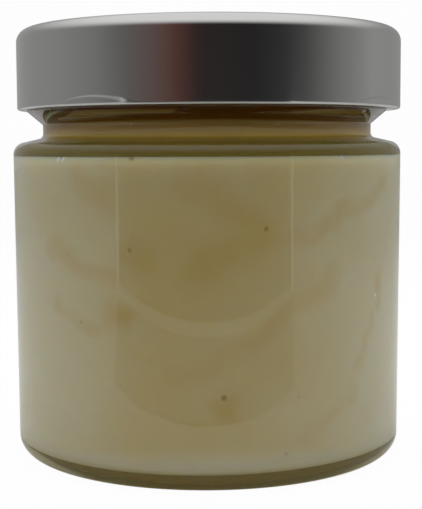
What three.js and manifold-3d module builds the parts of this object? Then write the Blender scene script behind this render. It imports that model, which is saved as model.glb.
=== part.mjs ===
// A shut jar of honey: a clear glass jar with a twist-off metal lid. Opaque
// creamed honey fills the straight body, and a layer of clear honey lies on
// it through the shoulder and neck. Millimetres, +Z up, origin at the centre
// of the ring that the jar stands on.

import * as THREE from 'three';
import { mergeVertices } from 'three/addons/utils/BufferGeometryUtils.js';
import Module from 'manifold-3d';

const wasm = await Module();
wasm.setup();

// Whole jar
const TOTAL_HEIGHT = 93;
const SIDES = 56;
const ROUND_STEPS = 5;
const SMALL_ROUND_STEPS = 3;
const DOME_STEPS = 4;
const GAP = 0.3;
const CUT_MARGIN = 1;

// Glass body
const FOOT_RADIUS = 42.6;
const BODY_RADIUS = 42.9;
const HEEL_RADIUS = 4.2;
const BEARING_WIDTH = 3;
const PUSH_UP = 3.4;
const WALL = 3;
const BASE_THICKNESS = 3.15;
const FLOOR_RISE = 3;
const DOME_POWER = 6;
const FLOOR_TILT = 0.005;
const TILT_HEIGHT = 12;
const INNER_HEEL_RADIUS = 3.5;

// Glass shoulder, whose top slopes down and outward from the neck
const SHOULDER_Z = 65.9;
const SHOULDER_RADIUS = 2.7;
const SHOULDER_SLOPE = 13;
const INNER_SHOULDER_Z = 63.5;
const INNER_SHOULDER_RADIUS = 3;

// Glass neck, and the bead round the neck just under the lid
const NECK_RADIUS = 36.4;
const NECK_FILLET = 1.1;
const NECK_TOP_Z = 72.3;
const MOUTH_RADIUS = 34;
const MOUTH_FILLET = 2;
const BEAD_RADIUS = 39.95;
const BEAD_SLOPE = 35;
const BEAD_FILLET = 1.2;
const BEAD_NOSE = 0.6;

// Glass finish, with four thread starts that each climb to the right
const FINISH_RADIUS = 38.9;
const RIM_Z = 92.1;
const RIM_RADIUS = 1.2;
const THREAD_COUNT = 4;
const THREAD_RADIUS = 1.2;
const THREAD_LOW_Z = 79.8;
const THREAD_CLIMB = 3.6;
const THREAD_SWEEP = 78;
const THREAD_STEPS = 14;
const THREAD_SECTION_SIDES = 8;

// Metal lid, which sits a little off the jar's axis
const LID_RADIUS = 42.35;
const LID_OFFSET = 0.45;
const LID_BOTTOM_Z = 75.5;
const LID_EDGE_RADIUS = 2.9;
const LID_METAL = 0.5;
const CURL_RADIUS = 0.8;
const CURL_STEPS = 9;
const PANEL_RADIUS = 32.6;
const PANEL_DROP = 1;
const PANEL_STEP_WIDTH = 1.6;
const BUTTON_RADIUS = 12;
const BUTTON_RISE = 0.4;
const BUTTON_SLOPE_WIDTH = 1;
const LUG_COUNT = 4;
const LUG_BEARING = 57;
const LUG_WIDTH = 24;
const LUG_TIP_WIDTH = 16;
const LUG_RADIUS = 39.8;
const LUG_Z = 76.7;
const LUG_THICKNESS = 1.4;
const LUG_STEPS = 4;

// Honey
const CREAM_TOP_Z = 65.6;
const LIQUID_TOP_Z = 82;

const glassMaterial = new THREE.MeshStandardMaterial({
  color: 0xdfe6df,
  roughness: 0.05,
  metalness: 0,
  transparent: true,
  opacity: 0.3,
});
const lidMaterial = new THREE.MeshStandardMaterial({
  color: 0x9a9b99,
  roughness: 0.35,
  metalness: 1,
});
const creamMaterial = new THREE.MeshStandardMaterial({
  color: 0x9a8a5e,
  roughness: 0.5,
  metalness: 0,
});
const liquidMaterial = new THREE.MeshStandardMaterial({
  color: 0x5a3a14,
  roughness: 0.1,
  metalness: 0,
});

// A point of a profile: distance from the axis, then height.
function at(radius, height) {
  return new THREE.Vector2(radius, height);
}

// Points along an arc of a profile, its ends included.
function arc(centreRadius, centreHeight, radius, fromDegrees, toDegrees, steps) {
  const points = [];
  for (let i = 0; i <= steps; i += 1) {
    const angle = THREE.MathUtils.degToRad(fromDegrees + ((toDegrees - fromDegrees) * i) / steps);
    points.push(at(centreRadius + radius * Math.cos(angle), centreHeight + radius * Math.sin(angle)));
  }
  return points;
}

// Points along a domed floor, from its broad raised middle to its steep edge.
function dome(edgeRadius, edgeHeight, rise) {
  const points = [];
  for (let i = 0; i < DOME_STEPS; i += 1) {
    const share = i / DOME_STEPS;
    points.push(at(edgeRadius * share, edgeHeight + rise * (1 - share ** DOME_POWER)));
  }
  return points;
}

// A solid of revolution about +Z from a profile that starts and ends on the axis.
function turned(profile) {
  const geometry = new THREE.LatheGeometry(profile, SIDES);
  geometry.rotateX(Math.PI / 2);
  return geometry;
}

// The jar's inner floor is not quite level: the base is thicker at +X.
function tiltFloor(geometry) {
  const position = geometry.getAttribute('position');
  for (let i = 0; i < position.count; i += 1) {
    const height = position.getZ(i);
    const share = 1 - THREE.MathUtils.smoothstep(height, BASE_THICKNESS, TILT_HEIGHT);
    position.setZ(i, height + FLOOR_TILT * position.getX(i) * share);
  }
  return geometry;
}

function toManifold(geometry) {
  const bare = geometry.clone();
  bare.deleteAttribute('normal');
  bare.deleteAttribute('uv');
  const merged = mergeVertices(bare, 1e-4);
  const mesh = new wasm.Mesh({
    numProp: 3,
    vertProperties: new Float32Array(merged.getAttribute('position').array),
    triVerts: new Uint32Array(merged.getIndex().array),
  });
  mesh.merge();
  return new wasm.Manifold(mesh);
}

function fromManifold(solid) {
  const mesh = solid.getMesh();
  const geometry = new THREE.BufferGeometry();
  geometry.setAttribute('position', new THREE.BufferAttribute(new Float32Array(mesh.vertProperties), 3));
  geometry.setIndex(new THREE.BufferAttribute(new Uint32Array(mesh.triVerts), 1));
  geometry.computeVertexNormals();
  return geometry;
}

function namedMesh(name, geometry, material) {
  const mesh = new THREE.Mesh(geometry, material);
  mesh.name = name;
  return mesh;
}

// A shoulder in profile, from the straight wall in to a vertical neck: a
// convex arc, a straight slope and a concave fillet.
function shoulder(wallRadius, startHeight, roundRadius, neckRadius, filletRadius) {
  const slope = THREE.MathUtils.degToRad(SHOULDER_SLOPE);
  const round = arc(wallRadius - roundRadius, startHeight, roundRadius, 0, 90 - SHOULDER_SLOPE, ROUND_STEPS);
  const slopeStart = round[round.length - 1];
  const filletCentreRadius = neckRadius + filletRadius;
  const slopeHeight = slopeStart.y + (slopeStart.x - filletCentreRadius) * Math.tan(slope);
  const filletCentreHeight = slopeHeight + filletRadius / Math.cos(slope);
  const fillet = arc(
    filletCentreRadius, filletCentreHeight, filletRadius, 270 - SHOULDER_SLOPE, 180, SMALL_ROUND_STEPS,
  );
  return [...round, ...fillet];
}

// Outside of the glass, from the middle of the push-up to the middle of the
// plane across the rim.
function glassOutside() {
  const bearingOuter = FOOT_RADIUS - HEEL_RADIUS;
  const bearingInner = bearingOuter - BEARING_WIDTH;
  const beadFillet = arc(
    NECK_RADIUS + BEAD_FILLET, NECK_TOP_Z, BEAD_FILLET, 180, 90 + BEAD_SLOPE, SMALL_ROUND_STEPS,
  );
  const beadStart = beadFillet[beadFillet.length - 1];
  const noseCentreRadius = BEAD_RADIUS - BEAD_NOSE;
  const slope = THREE.MathUtils.degToRad(BEAD_SLOPE);
  const slopeHeight = beadStart.y + (noseCentreRadius - beadStart.x) * Math.tan(slope);
  const noseCentreHeight = slopeHeight + BEAD_NOSE / Math.cos(slope);
  return [
    ...dome(bearingInner, 0, PUSH_UP),
    at(bearingInner, 0),
    ...arc(bearingOuter, HEEL_RADIUS, HEEL_RADIUS, -90, 0, ROUND_STEPS),
    ...shoulder(BODY_RADIUS, SHOULDER_Z, SHOULDER_RADIUS, NECK_RADIUS, NECK_FILLET),
    ...beadFillet,
    ...arc(noseCentreRadius, noseCentreHeight, BEAD_NOSE, BEAD_SLOPE - 90, 90, SMALL_ROUND_STEPS),
    at(FINISH_RADIUS, noseCentreHeight + BEAD_NOSE),
    ...arc(FINISH_RADIUS - RIM_RADIUS, RIM_Z - RIM_RADIUS, RIM_RADIUS, 0, 90, SMALL_ROUND_STEPS),
    at(0, RIM_Z),
  ];
}

// Profile of the jar's inside, drawn in by an allowance: none for the
// glass's own cavity, GAP for the honey that fills it. It runs from the
// middle of the floor up the wall and round the shoulder to the neck.
function insideWall(allowance) {
  const wallRadius = BODY_RADIUS - WALL - allowance;
  const floorHeight = BASE_THICKNESS + allowance;
  const heelRadius = INNER_HEEL_RADIUS - allowance;
  return [
    ...dome(wallRadius - heelRadius, floorHeight, FLOOR_RISE),
    ...arc(wallRadius - heelRadius, floorHeight + heelRadius, heelRadius, -90, 0, ROUND_STEPS),
    at(wallRadius, TILT_HEIGHT),
    ...shoulder(
      wallRadius, INNER_SHOULDER_Z, INNER_SHOULDER_RADIUS - allowance,
      MOUTH_RADIUS - allowance, MOUTH_FILLET + allowance,
    ),
  ];
}

function glassCavity() {
  const lip = arc(MOUTH_RADIUS + RIM_RADIUS, RIM_Z - RIM_RADIUS, RIM_RADIUS, 180, 90, SMALL_ROUND_STEPS);
  return tiltFloor(turned([
    ...insideWall(0),
    ...lip,
    at(MOUTH_RADIUS + RIM_RADIUS, RIM_Z + CUT_MARGIN),
    at(0, RIM_Z + CUT_MARGIN),
  ]));
}

// One thread start: a half-round ridge on the finish, along a rising helix.
class ThreadCurve extends THREE.Curve {
  constructor(startDegrees) {
    super();
    this.startDegrees = startDegrees;
  }

  getPoint(share, target = new THREE.Vector3()) {
    const angle = THREE.MathUtils.degToRad(this.startDegrees + THREAD_SWEEP * share);
    return target.set(
      FINISH_RADIUS * Math.cos(angle),
      FINISH_RADIUS * Math.sin(angle),
      THREAD_LOW_Z + THREAD_CLIMB * share,
    );
  }
}

function threadRidge(startDegrees) {
  const section = new THREE.Shape();
  for (let i = 0; i < THREAD_SECTION_SIDES; i += 1) {
    const angle = (2 * Math.PI * (i + 0.5)) / THREAD_SECTION_SIDES;
    const x = THREAD_RADIUS * Math.cos(angle);
    const y = THREAD_RADIUS * Math.sin(angle);
    if (i === 0) {
      section.moveTo(x, y);
    } else {
      section.lineTo(x, y);
    }
  }
  section.closePath();
  return new THREE.ExtrudeGeometry(section, {
    steps: THREAD_STEPS,
    bevelEnabled: false,
    extrudePath: new ThreadCurve(startDegrees),
  });
}

function glassJar() {
  let solid = toManifold(turned(glassOutside()));
  for (let i = 0; i < THREAD_COUNT; i += 1) {
    const bearing = LUG_BEARING - 90 + (360 * i) / THREAD_COUNT;
    solid = solid.add(toManifold(threadRidge(bearing - LUG_WIDTH)));
  }
  return fromManifold(solid.subtract(toManifold(glassCavity())));
}

// The lid's pressed shell: panel with its button, rim over the jar's lip,
// rounded edge, skirt, curl rolled inward, and the same way back inside.
function lidShell() {
  const rimHeight = TOTAL_HEIGHT;
  const panelHeight = rimHeight - PANEL_DROP;
  const buttonHeight = panelHeight + BUTTON_RISE;
  const edgeCentre = at(LID_RADIUS - LID_EDGE_RADIUS, rimHeight - LID_EDGE_RADIUS);
  const innerEdge = LID_EDGE_RADIUS - LID_METAL;
  const curlCentre = at(LID_RADIUS - CURL_RADIUS, LID_BOTTOM_Z + CURL_RADIUS);
  const skirtInside = LID_RADIUS - LID_METAL;
  const curlMeets = THREE.MathUtils.radToDeg(Math.acos((skirtInside - curlCentre.x) / CURL_RADIUS));
  return [
    at(0, buttonHeight - LID_METAL),
    at(BUTTON_RADIUS - BUTTON_SLOPE_WIDTH, buttonHeight - LID_METAL),
    at(BUTTON_RADIUS, panelHeight - LID_METAL),
    at(PANEL_RADIUS, panelHeight - LID_METAL),
    at(PANEL_RADIUS + PANEL_STEP_WIDTH / 2, rimHeight - LID_METAL),
    ...arc(edgeCentre.x, edgeCentre.y, innerEdge, 90, 0, ROUND_STEPS),
    ...arc(curlCentre.x, curlCentre.y, CURL_RADIUS, curlMeets, 360, CURL_STEPS),
    ...arc(edgeCentre.x, edgeCentre.y, LID_EDGE_RADIUS, 0, 90, ROUND_STEPS),
    at(PANEL_RADIUS + PANEL_STEP_WIDTH / 2, rimHeight),
    at(PANEL_RADIUS, panelHeight),
    at(BUTTON_RADIUS, panelHeight),
    at(BUTTON_RADIUS - BUTTON_SLOPE_WIDTH, buttonHeight),
    at(0, buttonHeight),
  ];
}

// One lug: the curl pressed in to a flat tab that catches under a thread.
function lug(bearing) {
  const outline = new THREE.Shape();
  const rootRadius = LID_RADIUS - LID_METAL / 2;
  for (let i = 0; i <= LUG_STEPS; i += 1) {
    const angle = THREE.MathUtils.degToRad(bearing + LUG_TIP_WIDTH * (i / LUG_STEPS - 0.5));
    const x = LUG_RADIUS * Math.cos(angle);
    const y = LUG_RADIUS * Math.sin(angle);
    if (i === 0) {
      outline.moveTo(x, y);
    } else {
      outline.lineTo(x, y);
    }
  }
  for (let i = 0; i <= LUG_STEPS; i += 1) {
    const angle = THREE.MathUtils.degToRad(bearing + LUG_WIDTH * (0.5 - i / LUG_STEPS));
    outline.lineTo(rootRadius * Math.cos(angle), rootRadius * Math.sin(angle));
  }
  outline.closePath();
  const geometry = new THREE.ExtrudeGeometry(outline, { depth: LUG_THICKNESS, bevelEnabled: false });
  geometry.translate(0, 0, LUG_Z);
  return geometry;
}

function lid() {
  let solid = toManifold(turned(lidShell()));
  for (let i = 0; i < LUG_COUNT; i += 1) {
    solid = solid.add(toManifold(lug(LUG_BEARING - 90 + (360 * i) / LUG_COUNT)));
  }
  return fromManifold(solid);
}

// The part of a profile that lies between two heights, closed to the axis.
function between(profile, lowHeight, highHeight) {
  const points = [];
  for (let i = 0; i < profile.length; i += 1) {
    const point = profile[i];
    const next = profile[i + 1];
    if (point.y > lowHeight && point.y < highHeight) {
      points.push(point);
    }
    for (const height of [lowHeight, highHeight]) {
      if (next && point.y < height && next.y > height) {
        points.push(point.clone().lerp(next, (height - point.y) / (next.y - point.y)));
      }
    }
  }
  return points;
}

function creamedHoney() {
  const wall = between(insideWall(GAP), 0, CREAM_TOP_Z);
  return tiltFloor(turned([...wall, at(0, CREAM_TOP_Z)]));
}

function liquidHoney() {
  const lowHeight = CREAM_TOP_Z + GAP;
  const profile = [...insideWall(GAP), at(MOUTH_RADIUS - GAP, LIQUID_TOP_Z + CUT_MARGIN)];
  const wall = between(profile, lowHeight, LIQUID_TOP_Z);
  return turned([at(0, lowHeight), ...wall, at(0, LIQUID_TOP_Z)]);
}

const lidMesh = namedMesh('lid', lid(), lidMaterial);
lidMesh.position.x = LID_OFFSET;

const honeyJar = new THREE.Group();
honeyJar.add(namedMesh('glass_jar', glassJar(), glassMaterial));
honeyJar.add(lidMesh);
honeyJar.add(namedMesh('creamed_honey', creamedHoney(), creamMaterial));
honeyJar.add(namedMesh('liquid_honey', liquidHoney(), liquidMaterial));

export default honeyJar;
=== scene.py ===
import math

import bpy
import numpy as np
from mathutils import Matrix, Vector


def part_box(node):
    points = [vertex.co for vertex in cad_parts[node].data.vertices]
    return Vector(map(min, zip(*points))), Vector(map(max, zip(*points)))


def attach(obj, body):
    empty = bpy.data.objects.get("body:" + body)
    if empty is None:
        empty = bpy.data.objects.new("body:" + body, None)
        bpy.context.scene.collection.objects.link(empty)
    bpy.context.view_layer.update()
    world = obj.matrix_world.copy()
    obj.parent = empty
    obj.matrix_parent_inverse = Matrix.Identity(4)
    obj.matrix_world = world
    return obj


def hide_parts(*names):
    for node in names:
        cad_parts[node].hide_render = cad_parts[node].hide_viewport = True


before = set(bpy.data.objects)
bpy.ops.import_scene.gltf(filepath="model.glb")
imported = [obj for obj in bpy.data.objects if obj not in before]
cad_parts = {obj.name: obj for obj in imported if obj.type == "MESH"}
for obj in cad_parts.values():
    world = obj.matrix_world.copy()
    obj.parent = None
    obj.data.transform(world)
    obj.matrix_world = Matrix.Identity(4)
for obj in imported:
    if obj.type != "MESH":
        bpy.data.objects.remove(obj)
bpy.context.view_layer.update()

# Camera. It stands in front of the jar at about shoulder height, and looks
# slightly down and a touch to the right.
camera_distance = 0.2697
camera_height = 0.0677
camera_pitch = math.radians(5.2)
camera_pan = math.radians(0.167)
camera_roll = math.radians(-0.275)
sensor_height = 36.0
picture_height = 509
focal_pixels = 1196.4

camera_data = bpy.data.cameras.new("camera")
camera_data.sensor_width = sensor_height
camera_data.lens = focal_pixels / picture_height * sensor_height
camera = bpy.data.objects.new("camera", camera_data)
bpy.context.scene.collection.objects.link(camera)
camera_turn = (
    Matrix.Rotation(-camera_pan, 4, "Z")
    @ Matrix.Rotation(math.pi / 2 - camera_pitch, 4, "X")
    @ Matrix.Rotation(camera_roll, 4, "Z")
)
camera.matrix_world = Matrix.Translation((0, -camera_distance, camera_height)) @ camera_turn
bpy.context.scene.camera = camera
bpy.context.scene.view_settings.view_transform = "Standard"


# Light. A plain soft studio: bright overhead, even at the back, less at the
# sides and dark in front, where the camera stands. Two low strips of light
# stand at the ends of the dark front.
fill_light = 0.5
soft_front = 0.66
soft_back = 1.76
overhead_light = 1.08
overhead_start = 0.3
overhead_full = 0.88
backdrop_light = 0.985
strip_distance = 0.234
strip_ends = (-0.27, 0.241)
strip_width = 0.005
strip_height = 0.075
strip_radiance = 1.2

# What the lid and the glass mirror: degrees round the jar from the front, more
# than 0 to the right, and the colour of the light there.
reflected_round = [
    (-180, (0.38, 0.38, 0.38)),
    (-149, (0.38, 0.38, 0.38)),
    (-100, (0.35, 0.35, 0.35)),
    (-68, (0.265, 0.265, 0.265)),
    (-50, (0.175, 0.167, 0.162)),
    (-28, (0.155, 0.1, 0.09)),
    (-17, (0.12, 0.05, 0.042)),
    (-6, (0.036, 0.027, 0.026)),
    (25, (0.025, 0.024, 0.024)),
    (45, (0.044, 0.044, 0.044)),
    (57, (0.09, 0.09, 0.09)),
    (80, (0.25, 0.25, 0.25)),
    (110, (0.41, 0.41, 0.41)),
    (149, (0.335, 0.34, 0.335)),
    (180, (0.3, 0.3, 0.3)),
]


def add_node(tree, kind, inputs=None, **settings):
    """A shader node with its settings made and its inputs set or linked."""
    node = tree.nodes.new(kind)
    for name, value in settings.items():
        setattr(node, name, value)
    for name, value in (inputs or {}).items():
        if isinstance(value, bpy.types.NodeSocket):
            tree.links.new(value, node.inputs[name])
        else:
            node.inputs[name].default_value = value
    return node


def add_ramp(tree, share, stops, low, high):
    """A colour ramp whose stops are places between low and high, with a colour each."""
    ramp = add_node(tree, "ShaderNodeValToRGB", {"Fac": share})
    while len(ramp.color_ramp.elements) < len(stops):
        ramp.color_ramp.elements.new(0.5)
    for element, (place, colour) in zip(ramp.color_ramp.elements, stops):
        element.position = (place - low) / (high - low)
        element.color = (*colour, 1)
    return ramp.outputs["Color"]


def mixed(tree, share, first, second):
    """The first colour, turning to the second as the share rises from 0 to 1."""
    mix = add_node(tree, "ShaderNodeMix", {"Factor": share, "A": first, "B": second}, data_type="RGBA")
    return mix.outputs["Result"]


def ramped(tree, value, **limits):
    """A value moved in a straight line from one range to another, and held at its ends."""
    inputs = {name.replace("_", " ").title(): limit for name, limit in limits.items()}
    return add_node(tree, "ShaderNodeMapRange", {"Value": value, **inputs}).outputs["Result"]


def grey(level):
    """A grey of full cover."""
    return (level, level, level, 1)


world = bpy.data.worlds.new("studio")
bpy.context.scene.world = world
world.use_nodes = True
sky = world.node_tree
sky.nodes.clear()
toward = add_node(sky, "ShaderNodeTexCoord").outputs["Generated"]
toward_parts = add_node(sky, "ShaderNodeSeparateXYZ", {"Vector": toward}).outputs
forward = add_node(sky, "ShaderNodeMath", {0: toward_parts["Y"], 1: -1.0}, operation="MULTIPLY")
bearing = add_node(
    sky, "ShaderNodeMath", {0: toward_parts["X"], 1: forward.outputs[0]}, operation="ARCTAN2"
)
turn_share = ramped(sky, bearing.outputs[0], from_min=-math.pi, from_max=math.pi)
around = add_ramp(sky, turn_share, reflected_round, -180, 180)
above = add_node(
    sky, "ShaderNodeMapRange",
    {"Value": toward_parts["Z"], "From Min": overhead_start, "From Max": overhead_full},
    interpolation_type="SMOOTHSTEP",
)
soft_light = ramped(sky, toward_parts["Y"], from_min=-1.0, to_min=soft_front, to_max=soft_back)

# Mirrored rays see the round of colours, rays from matt surfaces the soft
# light, and the camera a plain backdrop.
ray = add_node(sky, "ShaderNodeLightPath").outputs
mirrored = add_node(
    sky, "ShaderNodeMath", {0: ray["Is Glossy Ray"], 1: ray["Is Reflection Ray"]}, operation="MULTIPLY"
)
even_light = mixed(sky, ray["Diffuse Depth"], grey(fill_light), soft_light)
level_light = mixed(sky, mirrored.outputs[0], even_light, around)
studio_light = mixed(sky, above.outputs["Result"], level_light, grey(overhead_light))
studio = mixed(sky, ray["Is Camera Ray"], studio_light, grey(backdrop_light))
background = add_node(sky, "ShaderNodeBackground", {"Color": studio})
add_node(sky, "ShaderNodeOutputWorld", {"Surface": background.outputs[0]})


def light_strip(name, middle, size, radiance):
    """A flat rectangle of light that faces the jar and doesn't show in the picture."""
    data = bpy.data.lights.new(name, "AREA")
    data.shape = "RECTANGLE"
    data.size, data.size_y = size
    data.energy = radiance * math.pi * size[0] * size[1]
    strip = bpy.data.objects.new(name, data)
    bpy.context.scene.collection.objects.link(strip)
    strip.location = middle
    toward_jar = Vector((0, 0, middle[2])) - Vector(middle)
    strip.rotation_euler = toward_jar.to_track_quat("-Z", "Y").to_euler()
    strip.visible_camera = False


for strip_end in strip_ends:
    strip_middle = (strip_end, -strip_distance, strip_height / 2)
    light_strip("side strip", strip_middle, (strip_width, strip_height), strip_radiance)


# Floor. A plain pale table top that the jar stands on. In front, out of the
# picture and unseen by the camera, lie a grey sheet, a pale strip and a near-black
# sheet, which make the ground that the jar reflects darker and lighter.
floor_half = 3.0
floor_height = -0.00005
floor_pale = (0.64, 0.64, 0.63, 1)
floor_dull = (0.3, 0.3, 0.3, 1)
floor_pale_reach = 0.12
floor_dull_reach = 0.7
floor_lift = 0.95
floor_glow = 1.015
card_near = 0.098
card_near_ends = (-0.105, 0.09)
card_height = 0.0004
card_grey = grey(0.25)
cloth_far = 2.6
cloth_black = grey(0.04)
tape_width = 0.033
tape_height = 2 * card_height
tape_white = grey(0.5)
matt_roughness = 0.9
matt_gloss = 0.1


def new_material(name):
    """A node material, its nodes and its Principled shader's inputs."""
    material = bpy.data.materials.new(name)
    material.use_nodes = True
    return material, material.node_tree, material.node_tree.nodes["Principled BSDF"].inputs


def flat_piece(name, corners, height, colour):
    """A level polygon with a plain matt finish."""
    mesh = bpy.data.meshes.new(name)
    mesh.from_pydata([(x, y, height) for x, y in corners], [], [tuple(range(len(corners)))])
    piece = bpy.data.objects.new(name, mesh)
    bpy.context.scene.collection.objects.link(piece)
    material, _, finish = new_material(name)
    finish["Base Color"].default_value = colour
    finish["Roughness"].default_value = matt_roughness
    finish["Specular IOR Level"].default_value = matt_gloss
    mesh.materials.append(material)
    return piece


def spread(near, near_ends, far, far_ends):
    """Corners of a trapezium in front of the jar that widens away from it."""
    return [(far_ends[0], -far), (far_ends[1], -far), (near_ends[1], -near), (near_ends[0], -near)]


floor_ends = (-floor_half, floor_half)
floor = flat_piece(
    "pale floor", spread(-floor_half, floor_ends, floor_half, floor_ends), floor_height, floor_pale
)
front_card = flat_piece(
    "grey card", spread(card_near, card_near_ends, strip_distance, strip_ends), card_height, card_grey
)
cloth_far_ends = [end * cloth_far / strip_distance for end in strip_ends]
front_cloth = flat_piece(
    "black cloth", spread(strip_distance, strip_ends, cloth_far, cloth_far_ends), card_height, cloth_black
)
tape_near = strip_distance - tape_width / 2
tape_far = strip_distance + tape_width / 2
front_tape = flat_piece(
    "white tape", spread(tape_near, strip_ends, tape_far, strip_ends), tape_height, tape_white
)
for piece in (front_card, front_cloth, front_tape):
    piece.visible_camera = False

# The floor's colour darkens away from the jar, which is painted light falling
# off, and the floor is lifted to the backdrop's white where it is seen directly.
floor_tree = floor.data.materials[0].node_tree
floor_shader = floor_tree.nodes["Principled BSDF"]
floor_place = add_node(floor_tree, "ShaderNodeTexCoord").outputs["Object"]
floor_away = add_node(floor_tree, "ShaderNodeVectorMath", {0: floor_place}, operation="LENGTH")
floor_painted_falloff = ramped(
    floor_tree, floor_away.outputs["Value"], from_min=floor_pale_reach, from_max=floor_dull_reach
)
floor_painted_light_colour = mixed(floor_tree, floor_painted_falloff, floor_pale, floor_dull)
floor_tree.links.new(floor_painted_light_colour, floor_shader.inputs["Base Color"])
floor_seen = add_node(floor_tree, "ShaderNodeLightPath").outputs["Is Camera Ray"]
floor_share = add_node(floor_tree, "ShaderNodeMath", {0: floor_seen, 1: floor_lift}, operation="MULTIPLY")
floor_white = add_node(floor_tree, "ShaderNodeEmission", {"Strength": floor_glow})
floor_mix = add_node(floor_tree, "ShaderNodeMixShader", {
    "Fac": floor_share.outputs[0], 1: floor_shader.outputs[0], 2: floor_white.outputs[0],
})
floor_tree.links.new(floor_mix.outputs[0], floor_tree.nodes["Material Output"].inputs["Surface"])


# Glass jar. Clear flint glass, blown in a mould: a straight body on a round
# heel, a low shoulder, a narrow neck, and a bead under the lid. Four thread
# starts stand on the finish behind the lid. Sizes are in mm.
MM = 0.001
turn_sides = 256
glass_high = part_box("glass_jar")[1]
body_radius = glass_high.x / MM
rim_height = glass_high.z / MM
body_taper = 0.3
foot_radius = body_radius - body_taper
heel_radius = 4.2
bearing_width = 3.0
push_up = 3.4
glass_wall = 3.0
base_thickness = 3.0
floor_rise = 3.0
floor_tilt = 0.003
dome_power = 6
tilt_height = 12.0
inner_heel_radius = 4.6
shoulder_height = 65.9
shoulder_round = 2.7
shoulder_slope = 13.0
inner_shoulder_height = 63.5
inner_shoulder_round = 3.0
neck_radius = 36.4
neck_fillet = 1.1
neck_top = 72.15
mouth_radius = 34.0
mouth_fillet = 2.0
bead_radius = 39.95
bead_slope = 40.0
bead_fillet = 0.5
bead_nose = 0.6
finish_radius = 38.9
lip_round = 1.2

# How finely the profiles are drawn: points on an arc, and mm between points
# on a straight.
round_points = 20
fillet_points = 12
bead_points = 10
lip_points = 8
dome_points = 40
body_step = 4.0
bead_step = 0.12
finish_step = 0.3
inside_step = 2.0
bore_step = 1.0

# Thread starts, as round bars wound part of the way up the finish.
thread_count = 4
thread_size = 1.2
thread_low = 79.8
thread_climb = 3.6
thread_sweep = math.radians(78)
thread_start = math.radians(-57)
thread_fade = 0.06
thread_grip = 0.01

# The two ridges on the slope under the bead, as degrees round the jar from
# the front, then the heights of their lower and upper edges. Their faces lean
# inward as they rise, and they end in a zigzag.
bead_ridges = [
    [(-52, 72.8, 72.9), (-48, 72.8, 73.6), (-37.5, 73.0, 75.2), (-30, 73.3, 76.0), (-23.6, 73.6, 76.0),
     (-8, 73.75, 76.0), (-5, 73.75, 76.0)],
    [(14, 73.8, 73.85), (26, 73.6, 74.3), (48, 73.3, 75.0), (54, 73.2, 75.2), (56, 73.2, 75.3)],
]
ridge_reach = 3.2
ridge_radius = 40.3
ridge_foot = 73.4
ridge_lean = 0.65
ridge_edge = 0.18
ridge_fade_in = 4.0
ridge_fade_out = 1.2
zigzag_depth = 1.5
zigzag_rise = 0.7

glass_colour = (0.97, 0.98, 0.965, 1)
glass_tint_colour = (0.66, 0.76, 0.38, 1)
glass_tint_density = 35.0
glass_wave_scale = 60.0
glass_wave_strength = 0.008
glass_wave_depth = 0.4


def arc(centre, radius, from_degrees, to_degrees, count):
    """Points of a profile along an arc, its ends included."""
    points = []
    for i in range(count + 1):
        angle = math.radians(from_degrees + (to_degrees - from_degrees) * i / count)
        points.append((centre[0] + radius * math.cos(angle), centre[1] + radius * math.sin(angle)))
    return points


def shoulder_profile(wall_radius, start_height, round_radius, inner_radius, fillet_radius):
    """From the straight wall in to a vertical neck: an arc, a slope and a fillet."""
    slope = math.radians(shoulder_slope)
    round_centre = (wall_radius - round_radius, start_height)
    rounded = arc(round_centre, round_radius, 0, 90 - shoulder_slope, round_points)
    fillet_centre = inner_radius + fillet_radius
    slope_height = rounded[-1][1] + (rounded[-1][0] - fillet_centre) * math.tan(slope)
    fillet_height = slope_height + fillet_radius / math.cos(slope)
    fillet = arc((fillet_centre, fillet_height), fillet_radius, 270 - shoulder_slope, 180, fillet_points)
    return rounded + fillet


def stepped(start, end, step):
    """Points on the straight line between two profile points, ends left out."""
    count = max(1, round(math.dist(start, end) / step))
    return [
        (start[0] + (end[0] - start[0]) * i / count, start[1] + (end[1] - start[1]) * i / count)
        for i in range(1, count)
    ]


def dome(edge_radius, edge_height, rise):
    """Points along a domed floor, from its broad raised middle to its steep edge."""
    return [
        (edge_radius * i / dome_points, edge_height + rise * (1 - (i / dome_points) ** dome_power))
        for i in range(dome_points)
    ]


def outside_profile():
    """Outside of the glass, from the middle of the push-up to the lip."""
    bearing_outer = foot_radius - heel_radius
    bearing_inner = bearing_outer - bearing_width
    heel = arc((bearing_outer, heel_radius), heel_radius, -90, 0, round_points)
    shoulder = shoulder_profile(body_radius, shoulder_height, shoulder_round, neck_radius, neck_fillet)
    bead_centre = (neck_radius + bead_fillet, neck_top)
    bead_curve = arc(bead_centre, bead_fillet, 180, 90 + bead_slope, bead_points)
    nose_centre = bead_radius - bead_nose
    slope = math.radians(bead_slope)
    slope_height = bead_curve[-1][1] + (nose_centre - bead_curve[-1][0]) * math.tan(slope)
    nose_height = slope_height + bead_nose / math.cos(slope)
    nose = arc((nose_centre, nose_height), bead_nose, bead_slope - 90, 90, fillet_points)
    finish_low = (finish_radius, nose_height + bead_nose)
    lip = arc((finish_radius - lip_round, rim_height - lip_round), lip_round, 0, 90, lip_points)
    return [
        *dome(bearing_inner, 0, push_up),
        (bearing_inner, 0),
        *heel,
        *stepped(heel[-1], shoulder[0], body_step),
        *shoulder,
        *bead_curve,
        *stepped(bead_curve[-1], nose[0], bead_step),
        *nose,
        finish_low,
        *stepped(finish_low, lip[0], finish_step),
        *lip,
    ]


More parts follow.
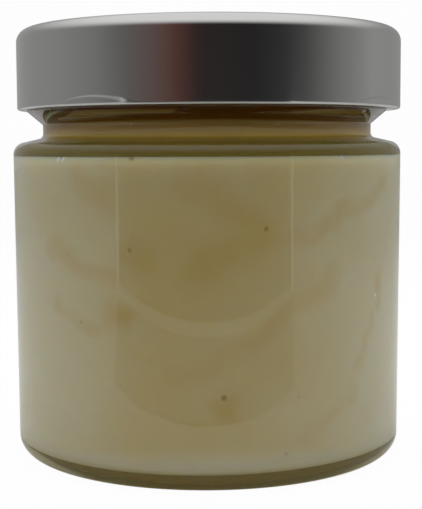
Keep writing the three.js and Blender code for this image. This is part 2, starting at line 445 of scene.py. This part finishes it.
def inside_profile(allowance):
    """Inside of the glass up to the neck, moved inward by an allowance."""
    wall_radius = body_radius - glass_wall - allowance
    base_height = base_thickness + allowance
    round_radius = inner_heel_radius - allowance
    heel_centre = (wall_radius - round_radius, base_height + round_radius)
    heel = arc(heel_centre, round_radius, -90, 0, round_points)
    shoulder = shoulder_profile(
        wall_radius, inner_shoulder_height, inner_shoulder_round - allowance,
        mouth_radius - allowance, mouth_fillet + allowance,
    )
    return [
        *dome(wall_radius - round_radius, base_height, floor_rise),
        *heel,
        *stepped(heel[-1], shoulder[0], inside_step),
        *shoulder,
    ]


def turned(name, profile, reshape=None):
    """A closed surface of revolution in metres, its profile running between axis points."""
    rings = np.array(profile[1:-1]) * MM
    angles = np.arange(turn_sides) * 2 * math.pi / turn_sides
    radius = np.repeat(rings[:, :1], turn_sides, axis=1)
    height = np.repeat(rings[:, 1:], turn_sides, axis=1)
    angle = np.repeat(angles[None, :], len(rings), axis=0)
    if reshape:
        radius, height = reshape(radius, height, angle)
    around_axis = np.stack([radius * np.cos(angle), radius * np.sin(angle), height], axis=-1).reshape(-1, 3)
    first = (0, 0, profile[0][1] * MM)
    last = (0, 0, profile[-1][1] * MM)
    first_index = len(around_axis)
    last_ring = (len(rings) - 1) * turn_sides
    faces = []
    for j in range(turn_sides):
        k = (j + 1) % turn_sides
        faces.append((first_index, k, j))
        for low in range(0, last_ring, turn_sides):
            high = low + turn_sides
            faces.append((low + j, low + k, high + k, high + j))
        faces.append((last_ring + j, last_ring + k, first_index + 1))
    mesh = bpy.data.meshes.new(name)
    mesh.from_pydata([*map(tuple, around_axis), first, last], [], faces)
    mesh.polygons.foreach_set("use_smooth", [True] * len(mesh.polygons))
    piece = bpy.data.objects.new(name, mesh)
    bpy.context.scene.collection.objects.link(piece)
    return piece


def smooth_share(value, low, high):
    """0 below low, 1 above high, and a smooth step between."""
    share = np.clip((value - low) / (high - low), 0, 1)
    return share * share * (3 - 2 * share)


def turn_from(angle, start):
    """The turn from a start to an angle, between minus half a turn and half a turn."""
    return np.mod(angle - start + math.pi, 2 * math.pi) - math.pi


def tilted_floor(radius, height, angle):
    """The jar's inner floor is not quite level: the base is thicker at +X."""
    share = 1 - smooth_share(height, base_thickness * MM, tilt_height * MM)
    return radius, height + floor_tilt * radius * np.cos(angle) * share


def thread_bars(radius, height, angle):
    """How far the thread starts stand out from the finish."""
    out = np.zeros_like(radius)
    for i in range(thread_count):
        start = thread_start + 2 * math.pi * i / thread_count
        share = np.mod(angle - start, 2 * math.pi) / thread_sweep
        centre = (thread_low + thread_climb * share) * MM
        away = (height - centre) / (thread_size * MM)
        ends = smooth_share(share, 0, thread_fade) * (1 - smooth_share(share, 1 - thread_fade, 1))
        out = out + np.sqrt(np.clip(1 - away * away, 0, 1)) * thread_size * MM * ends
    return np.where(radius < (finish_radius - thread_grip) * MM, 0, out)


def bead_ridge_faces(radius, height, angle):
    """How far the two ridges stand out from the slope under the bead."""
    out = np.zeros_like(radius)
    from_front = np.degrees(turn_from(angle, -math.pi / 2))
    crest = ridge_radius * MM - ridge_lean * np.clip(height - ridge_foot * MM, 0, None)
    zigzag = zigzag_depth * np.abs(np.mod(height / MM / zigzag_rise, 2) - 1)
    for course in bead_ridges:
        bearings, lows, highs = zip(*course)
        over_low = smooth_share(height / MM - np.interp(from_front, bearings, lows), 0, ridge_edge)
        over_high = smooth_share(height / MM - np.interp(from_front, bearings, highs), 0, ridge_edge)
        begun = smooth_share(from_front, bearings[0], bearings[0] + ridge_fade_in)
        ended = smooth_share(from_front + zigzag, bearings[-1] - ridge_fade_out, bearings[-1])
        share = over_low * (1 - over_high) * begun * (1 - ended)
        out = out + np.clip(crest - radius, 0, None) * share
    on_slope = (height > neck_top * MM) & (height < (neck_top + ridge_reach) * MM)
    return np.where(on_slope, out, 0)


glass_outside = outside_profile()
glass_inside = inside_profile(0)
inner_lip = arc((mouth_radius + lip_round, rim_height - lip_round), lip_round, 90, 180, lip_points)
down_inside = [*stepped(inner_lip[-1], glass_inside[-1], bore_step), *reversed(glass_inside)]


def shape_glass(radius, height, angle):
    """Raises the thread starts and ridges on the outside and tilts the floor inside."""
    outer_rows = len(glass_outside) - 1
    outer = (radius[:outer_rows], height[:outer_rows], angle[:outer_rows])
    inner = (radius[outer_rows:], height[outer_rows:], angle[outer_rows:])
    outer_radius = outer[0] + thread_bars(*outer) + bead_ridge_faces(*outer)
    inner_radius, inner_height = tilted_floor(*inner)
    return np.vstack([outer_radius, inner_radius]), np.vstack([outer[1], inner_height])


glass_jar = turned("clear_glass_jar", [*glass_outside, *inner_lip, *down_inside], shape_glass)

glass_material, glass_tree, glass_finish = new_material("clear glass")
glass_finish["Base Color"].default_value = glass_colour
glass_finish["Roughness"].default_value = 0.0
glass_finish["IOR"].default_value = 1.5
glass_finish["Transmission Weight"].default_value = 1.0
glass_waves = add_node(glass_tree, "ShaderNodeTexNoise", {"Scale": glass_wave_scale, "Detail": 2.0})
glass_bump = add_node(glass_tree, "ShaderNodeBump", {
    "Strength": glass_wave_strength, "Distance": glass_wave_depth * MM, "Height": glass_waves.outputs[0],
})
glass_tree.links.new(glass_bump.outputs["Normal"], glass_finish["Normal"])
glass_tint = add_node(
    glass_tree, "ShaderNodeVolumeAbsorption", {"Color": glass_tint_colour, "Density": glass_tint_density}
)
glass_tree.links.new(glass_tint.outputs[0], glass_tree.nodes["Material Output"].inputs["Volume"])
glass_jar.data.materials.append(glass_material)
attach(glass_jar, "root")
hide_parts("glass_jar")


# Lid. A twist-off lid pressed from thin tinplate with a satin silver lacquer.
# The curl at its lower edge is rolled inward, and pressed flat at the four
# lugs that catch under the thread starts. Sizes are in mm.
lid_low, lid_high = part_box("lid")
lid_offset = (lid_low.x + lid_high.x) / 2
lid_radius = (lid_high.x - lid_low.x) / 2 / MM
lid_bottom = lid_low.z / MM
lid_top = lid_high.z / MM
lid_edge_radius = 2.9
lid_metal = 0.5
curl_radius = 0.8
curl_corner = 0.58
panel_radius = 32.6
panel_drop = 1.0
panel_step = 0.8
button_radius = 12.0
button_rise = 0.4
edge_points = 16
curl_points = 24
skirt_step = 0.15
skirt_inner_step = 0.6
top_step = 1.0
panel_point_step = 2.0

# How far the panel's and the button's bends run out and drop off at each end.
bend_run = 0.3
bend_slant = 0.2
bend_drop = 0.1
bend_ease = 0.01
button_slant = 1.0
button_run = 0.5
button_ease = 0.04

lug_count = 4
lug_bearing = math.radians(57 - 90)
lug_half_width = math.radians(13.0)
lug_dent = 0.06
lug_arch_low = 0.2
lug_arch_rise = 1.5
lug_crease = 0.45
lug_fade_from = 0.7
lug_fade_to = 1.1

lid_colour = (0.55, 0.55, 0.54, 1)
lid_grain_scale = 900.0
lid_smoothest = 0.11
lid_roughest = 0.16


def lid_profile():
    """Underside of the panel, down inside the skirt, round the curl and back over the top."""
    panel = lid_top - panel_drop
    button = panel + button_rise
    under_panel = panel - lid_metal
    edge_centre = (lid_radius - lid_edge_radius, lid_top - lid_edge_radius)
    curl_centre = (lid_radius - curl_radius, lid_bottom + curl_radius)
    corner_centre = (lid_radius - curl_corner, lid_bottom + curl_corner)
    curl_meets = math.degrees(math.acos((lid_radius - lid_metal - curl_centre[0]) / curl_radius))
    under_edge = arc(edge_centre, lid_edge_radius - lid_metal, 90, 0, fillet_points)
    curl_inside = arc(curl_centre, curl_radius, curl_meets, 270, curl_points)
    curl_outside = arc(corner_centre, curl_corner, 270, 360, fillet_points)
    over_edge = arc(edge_centre, lid_edge_radius, 0, 90, edge_points)
    step_top = (panel_radius + panel_step, lid_top)
    panel_edge = (panel_radius - bend_run, panel)
    button_foot = (button_radius + button_run, panel)
    button_edge = (button_radius - button_slant - button_run, button)
    return [
        (0, button - lid_metal),
        (button_radius - button_slant, button - lid_metal),
        (button_radius, under_panel),
        *stepped((button_radius, under_panel), (panel_radius, under_panel), panel_point_step),
        (panel_radius, under_panel),
        (step_top[0], lid_top - lid_metal),
        *under_edge,
        *stepped(under_edge[-1], curl_inside[0], skirt_inner_step),
        *curl_inside,
        *curl_outside,
        *stepped(curl_outside[-1], over_edge[0], skirt_step),
        *over_edge,
        *stepped(over_edge[-1], step_top, top_step),
        (step_top[0] + bend_run, lid_top - bend_ease),
        (step_top[0], lid_top - bend_drop),
        (panel_radius + bend_slant, panel + bend_drop),
        (panel_radius, panel + bend_ease),
        panel_edge,
        *stepped(panel_edge, button_foot, panel_point_step),
        button_foot,
        (button_radius, panel + button_ease),
        (button_radius - button_slant, button - button_ease),
        button_edge,
        *stepped(button_edge, (0, button), panel_point_step),
        (0, button),
    ]


def shape_lid(radius, height, angle):
    """Presses the skirt's foot inward under a low arch at each lug."""
    for i in range(lug_count):
        away = np.abs(turn_from(angle, lug_bearing + 2 * math.pi * i / lug_count)) / lug_half_width
        arch = lid_bottom + lug_arch_low + lug_arch_rise * np.clip(1 - away ** 2, 0, None)
        below = 1 - smooth_share(height / MM - arch, 0, lug_crease)
        radius = radius - lug_dent * MM * below * (1 - smooth_share(away, lug_fade_from, lug_fade_to))
    return radius, height


lid = turned("twist_off_lid", lid_profile(), shape_lid)
lid.data.transform(Matrix.Translation((lid_offset, 0, 0)))

lid_material, lid_tree, lid_finish = new_material("satin lid metal")
lid_finish["Metallic"].default_value = 1.0
lid_finish["Base Color"].default_value = lid_colour
lid_grain = add_node(lid_tree, "ShaderNodeTexNoise", {"Scale": lid_grain_scale, "Detail": 3.0})
lid_roughness = ramped(lid_tree, lid_grain.outputs[0], to_min=lid_smoothest, to_max=lid_roughest)
lid_tree.links.new(lid_roughness, lid_finish["Roughness"])
lid.data.materials.append(lid_material)
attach(lid, "root")
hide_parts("lid")


# Creamed honey. Pale and opaque, it fills the straight body of the jar and
# wets the glass all round, so it reaches just into the wall. Tan streaks and
# brown specks run through it, and it is paler at the head. It is also paler at
# the sides and foot, which is painted light, and white painted glints sit on
# its air bubbles.
into_glass = -0.12
cream_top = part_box("creamed_honey")[1].z / MM
cream_radius = body_radius - glass_wall - into_glass
tan_cream = (0.75, 0.62, 0.345, 1)
pale_cream = (0.795, 0.73, 0.59, 1)
streak_colour = (0.69, 0.5, 0.2, 1)
speck_colour = (0.36, 0.17, 0.04, 1)
painted_glint_colour = (1, 1, 0.98, 1)
cream_roughness = 0.6
cream_bleed = (1.0, 0.7, 0.35)
cream_bleed_scale = 0.003

# Where the honey turns pale, in mm from the middle plane and above the floor.
# The paleness at the sides and foot is painted light.
side_painted_light_from = 8.0
side_painted_light_full = 40.0
foot_painted_light_from = 9.0
foot_painted_light_full = 4.0
foot_painted_light_share = 1.2
head_pale_from = 56.0
head_pale_full = 66.0
head_pale_share = 0.35
cloud_scale = 55.0
cloud_thin = 0.35
cloud_thick = 0.65
cloud_darkest = -0.15
cloud_palest = 0.2

# Painted light: faces that look down glow a little amber, standing in for
# light that comes through the base.
painted_underside_glow = (0.05, 0.03, 0.002, 1)
glow_from = -0.5
glow_full = -0.9

# Each streak: its half width in mm, its strength, and its course in degrees
# round the jar from the front and mm above the floor.
streaks = [
    (5.95, 0.42, [(-4, 61), (4, 57), (14, 53), (17, 51)]),
    (3.4, 0.36, [(17, 51), (24, 50), (30, 50), (36, 53), (49, 55), (60, 59)]),
    (5.95, 0.48, [(16, 51), (10, 49), (1, 46), (-3, 43)]),
    (5.1, 0.36, [(-38, 61), (-33, 59), (-28, 57)]),
    (3.74, 0.336, [(-49, 48), (-43, 46), (-33, 43), (-27, 42)]),
    (3.06, 0.36, [(-47, 36), (-38, 33), (-33, 31)]),
    (4.25, 0.3, [(39, 42), (30, 39), (18, 33), (8, 28), (-10, 22)]),
    (3.06, 0.3, [(55, 33), (53, 25), (45, 18), (33, 12), (28, 10)]),
    (4.42, 0.48, [(41, 55), (38, 53)]),
    (5.78, 0.72, [(-26, 34.5), (-24, 34)]),
    (4.42, 0.48, [(-21, 47), (-18, 45)]),
    (3.4, 0.42, [(58, 39), (58, 36)]),
    (4.08, 0.6, [(4, 18.5), (5, 16)]),
]
waver_scale = 110.0
waver_reach = 9.0

# Each speck, and each painted glint of an air bubble caught at the glass: its
# radius in mm, then its place as above. Both fade out from the middle, the
# small ones faintest.
specks = [
    (0.5, 16.1, 51.6), (0.45, -21.7, 47.5), (0.6, 4.3, 18.8), (0.35, 22, 6.9), (0.25, 26, 18.1),
    (0.3, -38, 32.6), (0.25, -43, 46.1), (0.55, -21, 65.3), (0.5, -45, 65.5),
]
painted_bubble_glints = [(0.5, -46.5, 65.1), (0.5, -44.5, 65.1), (0.35, 41, 65.2), (0.35, 56.5, 36.6)]
speck_spread = 1.6
speck_strength = 1.1
painted_glint_spread = 1.5
painted_glint_strength = 4.0
dot_height = 0.1


def up_to(profile, height):
    """The part of a profile that lies below a height."""
    points = [profile[0]]
    for point, following in zip(profile, profile[1:]):
        if following[1] > height:
            share = (height - point[1]) / (following[1] - point[1])
            points.append((point[0] + (following[0] - point[0]) * share, height))
            break
        points.append(following)
    return points


def unrolled(degrees, height):
    """A place on the honey's side as metres round it and up it."""
    return (math.radians(degrees) * cream_radius * MM, height * MM, 0)


def vector_math(tree, operation, first, second=None):
    """A vector sum of one or two vectors, as a node."""
    inputs = {0: first} if second is None else {0: first, 1: second}
    return add_node(tree, "ShaderNodeVectorMath", inputs, operation=operation)


def new_group(name, inputs, outputs):
    """A node group with its sockets made, and its input and output nodes."""
    group = bpy.data.node_groups.new(name, "ShaderNodeTree")
    for label, kind in inputs:
        group.interface.new_socket(label, in_out="INPUT", socket_type=kind)
    for label, kind in outputs:
        group.interface.new_socket(label, in_out="OUTPUT", socket_type=kind)
    return group, group.nodes.new("NodeGroupInput").outputs, group.nodes.new("NodeGroupOutput")


def side_place_group():
    """Places on the jar's side: unrolled to a flat sheet, and wavered by noise."""
    group, _, result = new_group(
        "side place", [], [("Place", "NodeSocketVector"), ("Waver", "NodeSocketVector")]
    )
    place = add_node(group, "ShaderNodeTexCoord").outputs["Object"]
    parts = add_node(group, "ShaderNodeSeparateXYZ", {"Vector": place}).outputs
    front = add_node(group, "ShaderNodeMath", {0: parts["Y"], 1: -1.0}, operation="MULTIPLY")
    turn = add_node(group, "ShaderNodeMath", {0: parts["X"], 1: front.outputs[0]}, operation="ARCTAN2")
    round_side = add_node(
        group, "ShaderNodeMath", {0: turn.outputs[0], 1: cream_radius * MM}, operation="MULTIPLY"
    )
    flat = add_node(group, "ShaderNodeCombineXYZ", {"X": round_side.outputs[0], "Y": parts["Z"]})
    cloud = add_node(group, "ShaderNodeTexNoise", {"Vector": place, "Scale": waver_scale, "Detail": 3.0})
    centred = vector_math(group, "SUBTRACT", cloud.outputs["Color"], (0.5, 0.5, 0.5))
    shift = vector_math(group, "SCALE", centred.outputs[0])
    shift.inputs["Scale"].default_value = waver_reach * MM
    wavered = vector_math(group, "ADD", flat.outputs[0], shift.outputs[0])
    group.links.new(flat.outputs[0], result.inputs["Place"])
    group.links.new(wavered.outputs[0], result.inputs["Waver"])
    return group


def streak_group():
    """The strength on the line between two places, falling to 0 at the half width."""
    group, given, result = new_group(
        "streak",
        [("Place", "NodeSocketVector"), ("From", "NodeSocketVector"), ("To", "NodeSocketVector"),
         ("Half width", "NodeSocketFloat"), ("Strength", "NodeSocketFloat")],
        [("Mask", "NodeSocketFloat")],
    )
    along = vector_math(group, "SUBTRACT", given["To"], given["From"])
    offset = vector_math(group, "SUBTRACT", given["Place"], given["From"])
    reach = vector_math(group, "DOT_PRODUCT", offset.outputs[0], along.outputs[0])
    whole = vector_math(group, "DOT_PRODUCT", along.outputs[0], along.outputs[0])
    share = add_node(
        group, "ShaderNodeMath", {0: reach.outputs["Value"], 1: whole.outputs["Value"]},
        operation="DIVIDE", use_clamp=True,
    )
    nearest = vector_math(group, "SCALE", along.outputs[0])
    group.links.new(share.outputs[0], nearest.inputs["Scale"])
    away = vector_math(group, "DISTANCE", offset.outputs[0], nearest.outputs[0])
    mask = add_node(group, "ShaderNodeMapRange", {
        "Value": away.outputs["Value"], "From Max": given["Half width"],
        "To Min": given["Strength"], "To Max": 0.0,
    }, interpolation_type="SMOOTHERSTEP")
    group.links.new(mask.outputs["Result"], result.inputs["Mask"])
    return group


side_places = side_place_group()
streak_shape = streak_group()

cream_wall = up_to(inside_profile(into_glass), cream_top)
cream = turned(
    "creamed_honey_fill",
    [*cream_wall, *stepped(cream_wall[-1], (0, cream_top), inside_step), (0, cream_top)],
    tilted_floor,
)

cream_material, cream_tree, cream_finish = new_material("creamed honey")
cream_finish["Roughness"].default_value = cream_roughness
cream_finish["Specular IOR Level"].default_value = 0.0
cream_finish["Subsurface Weight"].default_value = 1.0
cream_finish["Subsurface Radius"].default_value = cream_bleed
cream_finish["Subsurface Scale"].default_value = cream_bleed_scale
cream_place = add_node(cream_tree, "ShaderNodeTexCoord").outputs["Object"]
cream_parts = add_node(cream_tree, "ShaderNodeSeparateXYZ", {"Vector": cream_place}).outputs
side_place = add_node(cream_tree, "ShaderNodeGroup", node_tree=side_places).outputs


def strongest(masks):
    """The highest of several masks at each point."""
    top = masks[0]
    for mask in masks[1:]:
        top = add_node(cream_tree, "ShaderNodeMath", {0: top, 1: mask}, operation="MAXIMUM").outputs[0]
    return top


def streak(place, start, end, half_width, strength):
    """The mask of one straight streak between two places on the honey's side."""
    mask = add_node(cream_tree, "ShaderNodeGroup", {
        "Place": place, "From": unrolled(*start), "To": unrolled(*end),
        "Half width": half_width * MM, "Strength": strength,
    }, node_tree=streak_shape)
    return mask.outputs[0]


def dots(places, spread_out, strength):
    """The mask of small round dots on the honey's side."""
    return strongest([
        streak(
            side_place["Place"], (degrees, height), (degrees, height + dot_height),
            radius * spread_out, min(1.0, radius * strength),
        )
        for radius, degrees, height in places
    ])


# Painted light: the sides are painted paler, for the light that falls on them.
to_side = add_node(cream_tree, "ShaderNodeMath", {0: cream_parts["X"]}, operation="ABSOLUTE")
side_painted_light = ramped(
    cream_tree, to_side.outputs[0], from_min=side_painted_light_from * MM, from_max=side_painted_light_full * MM
)
# Painted light: paler by the foot, for the white floor that lights it and shows in the glass.
foot_painted_light = ramped(
    cream_tree, cream_parts["Z"],
    from_min=foot_painted_light_from * MM, from_max=foot_painted_light_full * MM, to_max=foot_painted_light_share,
)
head_pale = ramped(
    cream_tree, cream_parts["Z"],
    from_min=head_pale_from * MM, from_max=head_pale_full * MM, to_max=head_pale_share,
)
clouds = add_node(
    cream_tree, "ShaderNodeTexNoise", {"Vector": cream_place, "Scale": cloud_scale, "Detail": 3.0}
)
cloud_pale = ramped(
    cream_tree, clouds.outputs[0],
    from_min=cloud_thin, from_max=cloud_thick, to_min=cloud_darkest, to_max=cloud_palest,
)
pale_and_painted_light_share = add_node(
    cream_tree, "ShaderNodeMath", {0: strongest([side_painted_light, foot_painted_light, head_pale]), 1: cloud_pale},
    operation="ADD", use_clamp=True,
)
streak_mask = strongest([
    streak(side_place["Waver"], start, end, half_width, strength)
    for half_width, strength, course in streaks
    for start, end in zip(course, course[1:])
])
cream_base = mixed(cream_tree, pale_and_painted_light_share.outputs[0], tan_cream, pale_cream)
streaked = mixed(cream_tree, streak_mask, cream_base, streak_colour)
specked = mixed(cream_tree, dots(specks, speck_spread, speck_strength), streaked, speck_colour)
# Painted highlights: white glints where light catches the air bubbles.
glint_painted = mixed(cream_tree, dots(painted_bubble_glints, painted_glint_spread, painted_glint_strength), specked, painted_glint_colour)
cream_tree.links.new(glint_painted, cream_finish["Base Color"])

cream_facing = add_node(cream_tree, "ShaderNodeNewGeometry").outputs["Normal"]
cream_down = add_node(cream_tree, "ShaderNodeSeparateXYZ", {"Vector": cream_facing}).outputs["Z"]
underside = ramped(cream_tree, cream_down, from_min=glow_from, from_max=glow_full)
cream_painted_glow = mixed(cream_tree, underside, grey(0), painted_underside_glow)
cream_tree.links.new(cream_painted_glow, cream_finish["Emission Color"])
cream_finish["Emission Strength"].default_value = 1.0
cream.data.materials.append(cream_material)
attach(cream, "root")
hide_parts("creamed_honey")


# Clear honey. Thin dark amber honey has risen over the cream and fills the
# shoulder and neck. It wets both, so it reaches just into the cream below and
# the glass around it.
into_cream = 0.15
liquid_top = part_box("liquid_honey")[1].z / MM
liquid_see_through = 0.2
liquid_amber_colour = (0.6, 0.42, 0.1, 1)
liquid_amber_density = 25.0

# Painted light: the honey glows with a small share of its colour, standing in
# for light that has spread through it.
liquid_painted_glow = 0.033

# Colours of the clear honey by height in mm, partly its own amber and partly
# painted light and shade: pale over the cream and shoulder, where light falls,
# and dark amber under the lid, where little light reaches it.
liquid_colours_and_painted_shade = [
    (65.4, (0.26, 0.2, 0.05)),
    (66.3, (0.3, 0.23, 0.05)),
    (67.5, (0.72, 0.46, 0.05)),
    (69, (0.95, 0.66, 0.17)),
    (71.5, (0.58, 0.35, 0.1)),
    (73.4, (0.55, 0.35, 0.08)),
    (74.0, (0.29, 0.1, 0.004)),
    (76, (0.26, 0.07, 0.003)),
]

liquid_base = cream_top - into_cream
liquid_full = [*inside_profile(into_glass), (mouth_radius - into_glass, liquid_top)]
liquid_wall = [point for point in liquid_full if point[1] > liquid_base]
liquid_foot = up_to(liquid_full, liquid_base)[-1]
liquid = turned(
    "clear_honey_layer",
    [
        (0, liquid_base),
        *stepped((0, liquid_base), liquid_foot, inside_step),
        liquid_foot,
        *liquid_wall,
        *stepped(liquid_wall[-1], (0, liquid_top), inside_step),
        (0, liquid_top),
    ],
)

liquid_material, liquid_tree, liquid_finish = new_material("clear honey")
liquid_finish["Roughness"].default_value = 0.0
liquid_finish["IOR"].default_value = 1.49
liquid_finish["Transmission Weight"].default_value = liquid_see_through
liquid_place = add_node(liquid_tree, "ShaderNodeTexCoord").outputs["Object"]
liquid_height = add_node(liquid_tree, "ShaderNodeSeparateXYZ", {"Vector": liquid_place}).outputs["Z"]
lowest, highest = liquid_colours_and_painted_shade[0][0], liquid_colours_and_painted_shade[-1][0]
up_liquid = ramped(liquid_tree, liquid_height, from_min=lowest * MM, from_max=highest * MM)
liquid_colour_with_painted_shade = add_ramp(liquid_tree, up_liquid, liquid_colours_and_painted_shade, lowest, highest)
liquid_tree.links.new(liquid_colour_with_painted_shade, liquid_finish["Base Color"])
liquid_tree.links.new(liquid_colour_with_painted_shade, liquid_finish["Emission Color"])
liquid_finish["Emission Strength"].default_value = liquid_painted_glow
liquid_amber = add_node(
    liquid_tree, "ShaderNodeVolumeAbsorption",
    {"Color": liquid_amber_colour, "Density": liquid_amber_density},
)
liquid_tree.links.new(liquid_amber.outputs[0], liquid_tree.nodes["Material Output"].inputs["Volume"])
liquid.data.materials.append(liquid_material)
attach(liquid, "root")
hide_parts("liquid_honey")
